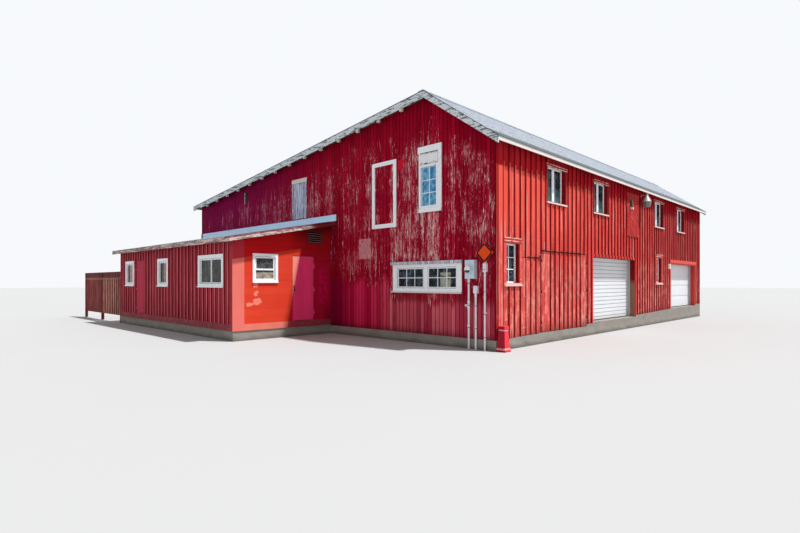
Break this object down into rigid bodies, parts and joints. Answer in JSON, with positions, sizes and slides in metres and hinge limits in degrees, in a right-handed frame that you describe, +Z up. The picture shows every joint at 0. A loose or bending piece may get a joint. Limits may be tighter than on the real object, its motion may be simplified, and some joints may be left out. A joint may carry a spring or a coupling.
{
  "type": "red barn",
  "caption": "Gabled wooden barn with an uneven roof, garage and barn doors, a front lean-to and a short screen fence.",
  "frame": {"origin": "middle of the front gable wall's outer face, on the foundation's underside at the lowest ground", "axes": "+Z up, the front gable faces -Y, the garage side faces +X"},
  "size_m": [21.66, 21.992, 6.894],
  "materials": {
    "concrete": "rough grey concrete",
    "timber": "sawn dry timber",
    "gable_boards": "peeling crimson paint on vertical boards",
    "side_boards": "faded red paint on boards and battens",
    "lean_to_boards": "worn red paint on boards and battens",
    "roof_metal": "weathered sheet metal",
    "flashing": "plain sheet metal",
    "white_trim": "peeling white paint",
    "worn_trim": "weathered bare wood",
    "glass": "dusty window glass",
    "garage_white": "white painted sheet",
    "door_red": "crimson paint",
    "iron": "rusted dark iron",
    "grey_metal": "dull grey paint",
    "orange": "orange sheet with a black edge",
    "fence_wood": "faded red-brown stain"
  },
  "bodies": {
    "barn": {"barn_foundation": "concrete", "ground_floor": "concrete", "loft_posts": "timber", "loft_beams": "timber", "loft_floor": "timber", "front_gable_wall": "gable_boards", "rear_gable_wall": "gable_boards", "left_wall": "side_boards", "right_wall_piers": "side_boards", "right_wall_over_doors": "side_boards", "roof_deck_left": "timber", "roof_deck_right": "timber", "roof_metal": "roof_metal", "ridge_cap": "roof_metal", "barge_boards": "white_trim", "eave_fascias": "white_trim", "purlin_ends": "worn_trim", "front_window_frames": "white_trim", "right_window_frames": "white_trim", "left_window_frames": "white_trim", "rear_window_frames": "white_trim", "barn_window_glass": "glass", "blank_frame": "white_trim", "loft_door": "worn_trim", "plywood_patch": "side_boards", "garage_frames": "white_trim", "garage_door_1": "garage_white", "garage_door_2": "garage_white", "hinge_pins": "iron", "meter_box": "grey_metal", "conduits": "grey_metal", "sign_post": "grey_metal", "sign_panel": "orange", "corner_bollard": "door_red", "barn_lamp": "iron", "wall_boxes": "grey_metal", "lean_to_foundation": "concrete", "lean_to_floor": "concrete", "lean_to_front_wall": "lean_to_boards", "lean_to_side_wall": "lean_to_boards", "lean_to_left_wall": "lean_to_boards", "lean_to_wall_over_doors": "lean_to_boards", "lean_to_roof": "roof_metal", "lean_to_flashing": "flashing", "lean_to_fascia": "worn_trim", "lean_to_trim_boards": "lean_to_boards", "lean_to_window_frames": "white_trim", "lean_to_glass": "glass", "lean_to_vent": "worn_trim", "fence_posts": "fence_wood", "fence_board_panel": "fence_wood", "fence_picket_panel": "fence_wood"},
    "walk_door": {"walk_door": "side_boards"},
    "barn_door_left": {"barn_door_left": "side_boards"},
    "barn_door_right": {"barn_door_right": "side_boards"},
    "lean_to_front_door": {"lean_to_front_door": "door_red"},
    "lean_to_side_door": {"lean_to_side_door": "door_red"}
  },
  "joints": [
    {"name": "walk_door_hinge", "type": "hinge", "parent": "barn", "child": "walk_door", "pos_m": [8.043, 1.173, 1.4], "axis": [0, 0, -1], "range_deg": [0, 90]},
    {"name": "barn_door_left_hinge", "type": "hinge", "parent": "barn", "child": "barn_door_left", "pos_m": [8.043, 2.213, 1.4], "axis": [0, 0, -1], "range_deg": [0, 90]},
    {"name": "barn_door_right_hinge", "type": "hinge", "parent": "barn", "child": "barn_door_right", "pos_m": [8.043, 5.057, 1.4], "axis": [0, 0, 1], "range_deg": [0, 90]},
    {"name": "lean_to_front_door_hinge", "type": "hinge", "parent": "barn", "child": "lean_to_front_door", "pos_m": [-6.122, -3.515, 1.4], "axis": [0, 0, -1], "range_deg": [0, 90]},
    {"name": "lean_to_side_door_hinge", "type": "hinge", "parent": "barn", "child": "lean_to_side_door", "pos_m": [1.565, -0.703, 1.4], "axis": [0, 0, 1], "range_deg": [0, 90]}
  ]
}
